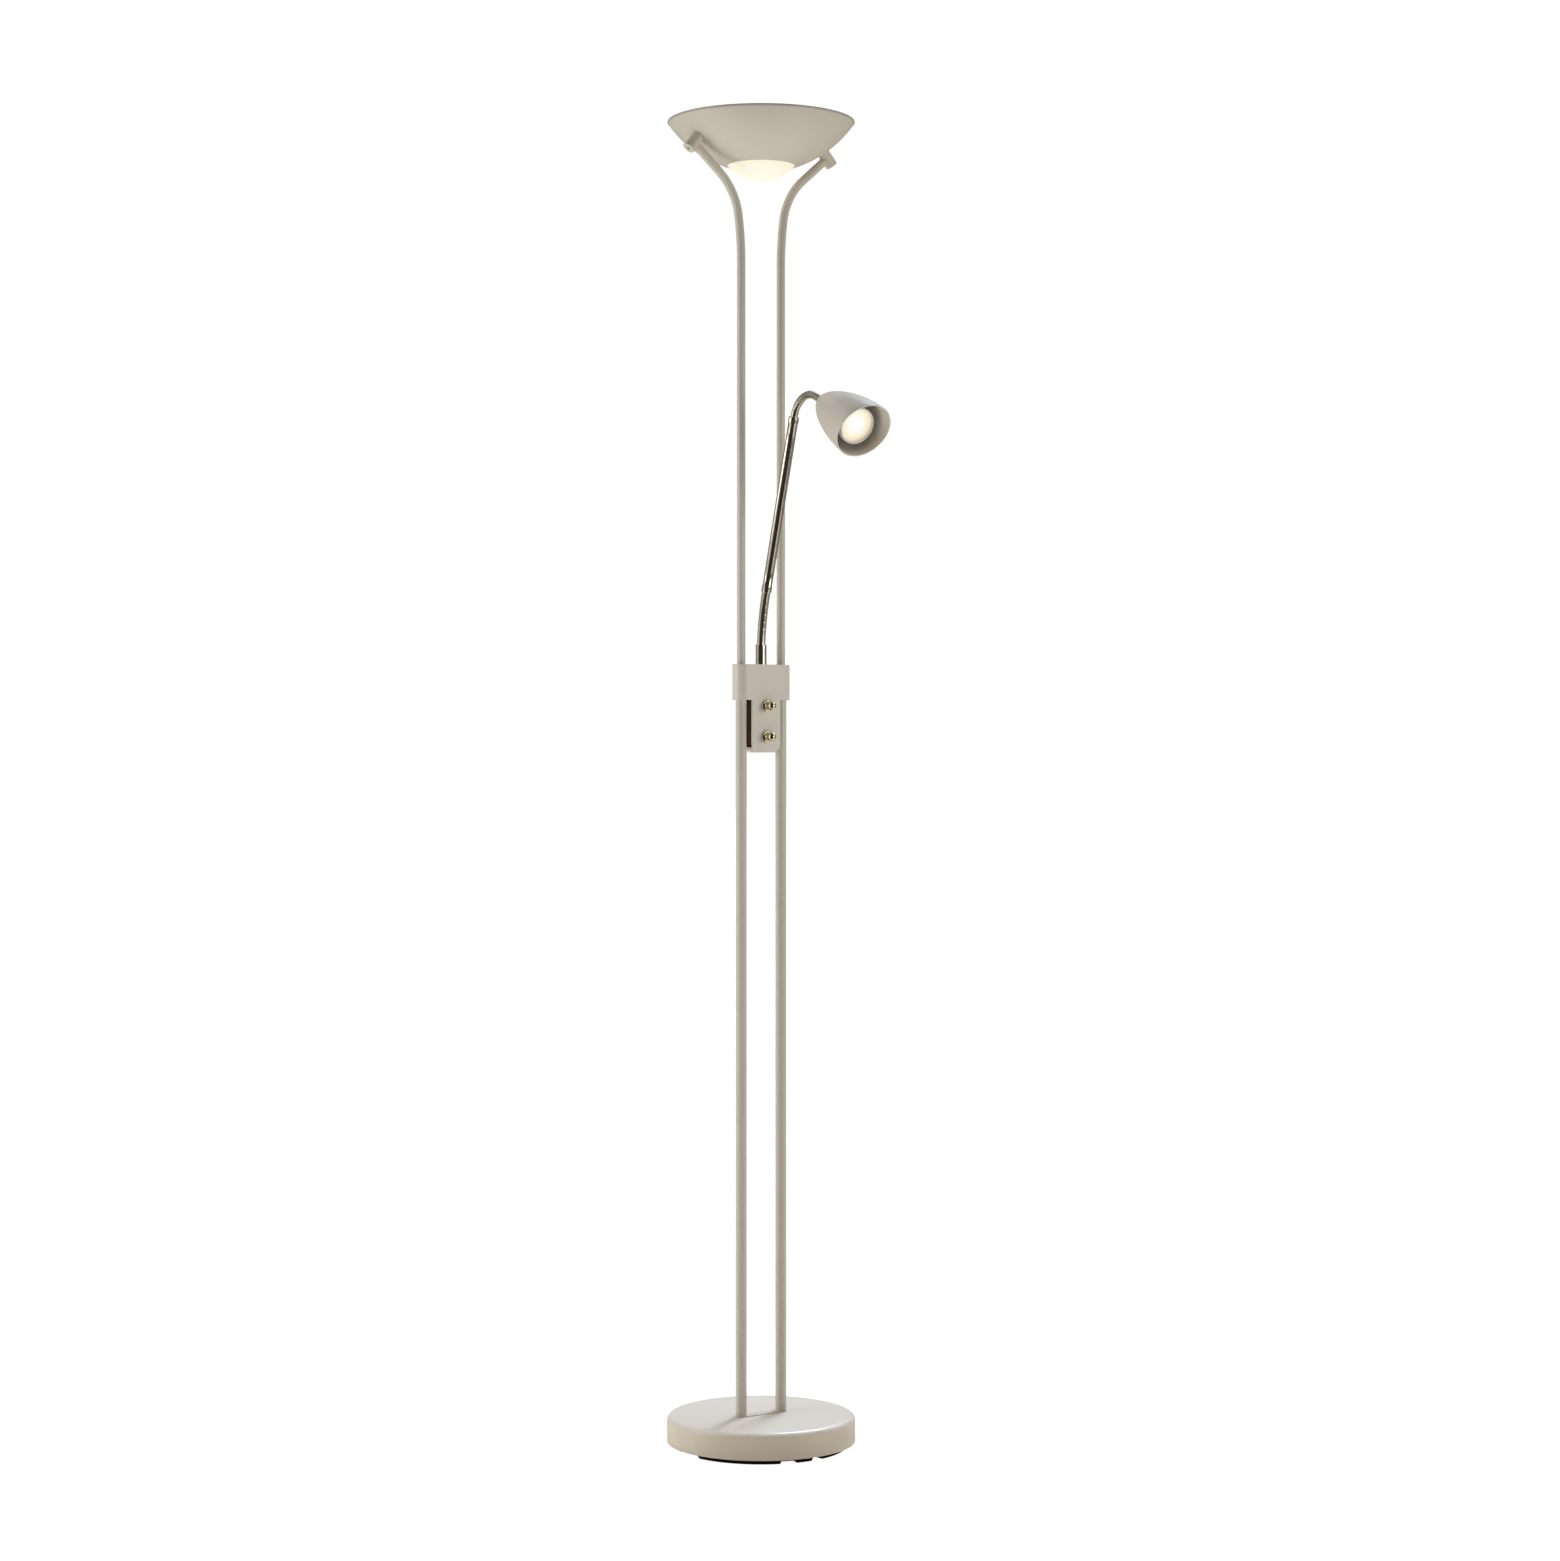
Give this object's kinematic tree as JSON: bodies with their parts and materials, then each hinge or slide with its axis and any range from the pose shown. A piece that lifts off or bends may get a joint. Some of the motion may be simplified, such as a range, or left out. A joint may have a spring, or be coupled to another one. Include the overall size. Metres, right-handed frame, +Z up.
{
  "type": "floor lamp with reading light",
  "caption": "Floor lamp with a weighted round base, twin poles, a bowl uplight over a frosted glass dish, rotary dimmers and a bell-shaped reading light on goosenecks.",
  "frame": {"origin": "on the floor under the middle of the base", "axes": "+Z up, +X along the line of the two poles to the right pole seen from the front, -Y the front, to which the reading arm and the knobs point"},
  "size_m": [0.2564, 0.401, 1.8024],
  "materials": {
    "cream_paint": "satin cream paint",
    "black_rubber": "matte black",
    "cast_iron": "rough casting",
    "zinc_steel": "bright zinc plate",
    "nickel": "satin nickel plate",
    "frosted_glass": "frosted, lit from inside",
    "bulb_glass": "clear quartz tube",
    "ceramic": "white ceramic",
    "black_plastic": "matte black",
    "bulb_white": "white bulb body",
    "bulb_lens": "frosted lens"
  },
  "bodies": {
    "stand": {"base_underlay": "black_rubber", "base_cover": "cream_paint", "base_weight": "cast_iron", "foot_plate": "cream_paint", "cord_gland": "black_rubber", "pole_studs": "zinc_steel", "stud_washers": "zinc_steel", "stud_nuts": "zinc_steel", "pole_plugs": "zinc_steel", "pole_reducers": "zinc_steel", "lower_pole_left": "cream_paint", "upper_pole_left": "cream_paint", "lower_pole_right": "cream_paint", "upper_pole_right": "cream_paint", "collar": "cream_paint", "collar_screws": "zinc_steel", "dimmer_cover": "cream_paint", "dimmer_back": "cream_paint", "dimmer_module": "black_plastic", "cover_screws": "zinc_steel", "bushing_nuts": "zinc_steel", "uplight_bowl": "cream_paint", "glass_diffuser": "frosted_glass", "glass_clips": "zinc_steel", "bowl_boss_left": "cream_paint", "bowl_boss_right": "cream_paint", "boss_screws": "zinc_steel", "pole_end_screws": "zinc_steel", "lamp_bracket": "zinc_steel", "lampholders": "ceramic", "linear_bulb_caps": "ceramic", "linear_bulb_tube": "bulb_glass", "arm_ferrule": "nickel", "ferrule_nut": "zinc_steel"},
    "reading_arm": {"reading_tube": "nickel"},
    "reading_head": {"head_stub": "nickel", "stub_nut": "zinc_steel", "reading_shade": "cream_paint", "spot_holder": "ceramic", "spot_bulb": "bulb_white", "spot_lens": "bulb_lens"},
    "upper_dimmer_knob": {"upper_knob": "nickel", "upper_shaft": "zinc_steel"},
    "lower_dimmer_knob": {"lower_knob": "nickel", "lower_shaft": "zinc_steel"},
    "lower_link_1": {"lower_neck_link_1": "nickel"},
    "lower_link_2": {"lower_neck_link_2": "nickel"},
    "lower_link_3": {"lower_neck_link_3": "nickel"},
    "lower_link_4": {"lower_neck_link_4": "nickel"},
    "lower_link_5": {"lower_neck_link_5": "nickel"},
    "lower_link_6": {"lower_neck_link_6": "nickel"},
    "lower_link_7": {"lower_neck_link_7": "nickel"},
    "upper_link_1": {"upper_neck_link_1": "nickel"},
    "upper_link_2": {"upper_neck_link_2": "nickel"},
    "upper_link_3": {"upper_neck_link_3": "nickel"},
    "upper_link_4": {"upper_neck_link_4": "nickel"},
    "upper_link_5": {"upper_neck_link_5": "nickel"},
    "upper_link_6": {"upper_neck_link_6": "nickel"},
    "upper_link_7": {"upper_neck_link_7": "nickel"}
  },
  "joints": [
    {"name": "lower_bend_1", "type": "hinge", "parent": "stand", "child": "lower_link_1", "pos_m": [0, 0.00008, 1.0896], "axis": [1, 0, 0], "range_deg": [-1, 10]},
    {"name": "lower_swing_1", "type": "hinge", "parent": "lower_link_1", "child": "lower_link_2", "pos_m": [0, -0.00074, 1.09965], "axis": [0, -0.9954, -0.0959], "range_deg": [-7, 7]},
    {"name": "lower_bend_2", "type": "hinge", "parent": "lower_link_2", "child": "lower_link_3", "pos_m": [0, -0.00185, 1.10966], "axis": [1, 0, 0], "range_deg": [-1, 10]},
    {"name": "lower_swing_2", "type": "hinge", "parent": "lower_link_3", "child": "lower_link_4", "pos_m": [0, -0.00327, 1.11964], "axis": [0, -0.9879, -0.1551], "range_deg": [-7, 7]},
    {"name": "lower_bend_3", "type": "hinge", "parent": "lower_link_4", "child": "lower_link_5", "pos_m": [0, -0.00498, 1.12957], "axis": [1, 0, 0], "range_deg": [-1, 10]},
    {"name": "lower_swing_3", "type": "hinge", "parent": "lower_link_5", "child": "lower_link_6", "pos_m": [0, -0.00698, 1.13945], "axis": [0, -0.9769, -0.2136], "range_deg": [-7, 7]},
    {"name": "lower_bend_4", "type": "hinge", "parent": "lower_link_6", "child": "lower_link_7", "pos_m": [0, -0.00928, 1.14926], "axis": [1, 0, 0], "range_deg": [-1, 10]},
    {"name": "lower_swing_4", "type": "hinge", "parent": "lower_link_7", "child": "reading_arm", "pos_m": [0, -0.01187, 1.159], "axis": [0, -0.9625, -0.2715], "range_deg": [-7, 7]},
    {"name": "head_tilt_1", "type": "hinge", "parent": "reading_arm", "child": "upper_link_1", "pos_m": [0, -0.07964, 1.39231], "axis": [1, 0, 0], "range_deg": [-10, 10]},
    {"name": "head_swing_1", "type": "hinge", "parent": "upper_link_1", "child": "upper_link_2", "pos_m": [0, -0.08381, 1.40222], "axis": [0, -0.8568, -0.5157], "range_deg": [-10, 10]},
    {"name": "head_tilt_2", "type": "hinge", "parent": "upper_link_2", "child": "upper_link_3", "pos_m": [0, -0.09063, 1.41053], "axis": [1, 0, 0], "range_deg": [-10, 10]},
    {"name": "head_swing_2", "type": "hinge", "parent": "upper_link_3", "child": "upper_link_4", "pos_m": [0, -0.09955, 1.41652], "axis": [0, -0.4313, -0.9022], "range_deg": [-10, 10]},
    {"name": "head_tilt_3", "type": "hinge", "parent": "upper_link_4", "child": "upper_link_5", "pos_m": [0, -0.10982, 1.4197], "axis": [1, 0, 0], "range_deg": [-10, 10]},
    {"name": "head_swing_3", "type": "hinge", "parent": "upper_link_5", "child": "upper_link_6", "pos_m": [0, -0.12057, 1.41979], "axis": [0, 0.1366, -0.9906], "range_deg": [-10, 10]},
    {"name": "head_tilt_4", "type": "hinge", "parent": "upper_link_6", "child": "upper_link_7", "pos_m": [0, -0.13089, 1.41679], "axis": [1, 0, 0], "range_deg": [-10, 10]},
    {"name": "head_swing_4", "type": "hinge", "parent": "upper_link_7", "child": "reading_head", "pos_m": [0, -0.14054, 1.41199], "axis": [0, 0.4478, -0.8942], "range_deg": [-10, 10]},
    {"name": "upper_dimmer_turn", "type": "hinge", "parent": "stand", "child": "upper_dimmer_knob", "pos_m": [0, -0.0135, 1.0069], "axis": [0, -1, 0], "range_deg": [-135, 135]},
    {"name": "lower_dimmer_turn", "type": "hinge", "parent": "stand", "child": "lower_dimmer_knob", "pos_m": [0, -0.0135, 0.9652], "axis": [0, -1, 0], "range_deg": [-135, 135]}
  ],
  "couplings": [
    {"joint": "lower_bend_2", "follows": "lower_bend_1", "ratio": 1},
    {"joint": "lower_swing_2", "follows": "lower_swing_1", "ratio": 1},
    {"joint": "lower_bend_3", "follows": "lower_bend_1", "ratio": 1},
    {"joint": "lower_swing_3", "follows": "lower_swing_1", "ratio": 1},
    {"joint": "lower_bend_4", "follows": "lower_bend_1", "ratio": 1},
    {"joint": "lower_swing_4", "follows": "lower_swing_1", "ratio": 1},
    {"joint": "head_tilt_2", "follows": "head_tilt_1", "ratio": 1},
    {"joint": "head_swing_2", "follows": "head_swing_1", "ratio": 1},
    {"joint": "head_tilt_3", "follows": "head_tilt_1", "ratio": 1},
    {"joint": "head_swing_3", "follows": "head_swing_1", "ratio": 1},
    {"joint": "head_tilt_4", "follows": "head_tilt_1", "ratio": 1},
    {"joint": "head_swing_4", "follows": "head_swing_1", "ratio": 1}
  ]
}
